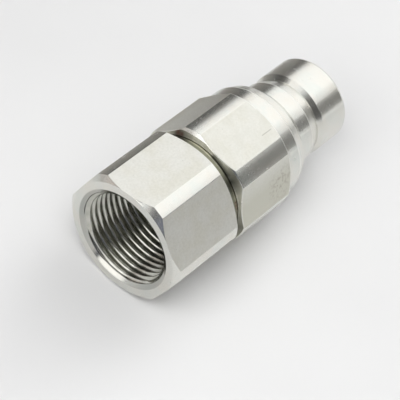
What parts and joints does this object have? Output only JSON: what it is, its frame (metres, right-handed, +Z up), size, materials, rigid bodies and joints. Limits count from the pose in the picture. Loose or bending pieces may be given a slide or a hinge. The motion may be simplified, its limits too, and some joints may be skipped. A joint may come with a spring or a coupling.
{
  "type": "quick coupling nipple",
  "caption": "Hydraulic flat-face quick coupling nipple: hexagonal adapter with an internally threaded port, hexagonal body with collar and ball groove, and a sprung valve flush with the nose.",
  "frame": {"origin": "centre of the bounding box's base, where the part lies on its two hexagons", "axes": "+X along the axis from the port's mouth to the nose, +Z up"},
  "size_m": [0.0938, 0.045, 0.0426],
  "materials": {
    "plated_steel": "zinc plated, satin",
    "valve_steel": "zinc plated, turned",
    "spring_steel": "drawn wire",
    "seal": "matte",
    "back_up": "matte"
  },
  "bodies": {
    "housing": {"port_adapter": "plated_steel", "nipple_body": "plated_steel", "valve_guide": "valve_steel", "valve_spring": "spring_steel", "joint_o_ring": "seal", "back_up_ring": "back_up"},
    "valve": {"valve_poppet": "valve_steel", "poppet_seal": "seal"}
  },
  "joints": [
    {"name": "valve_slide", "type": "slide", "parent": "housing", "child": "valve", "axis": [-1, 0, 0], "range_m": [0, 0.009], "stiffness_N_per_m": 3400, "springref_m": -0.01, "deforming": ["valve_spring"]}
  ]
}
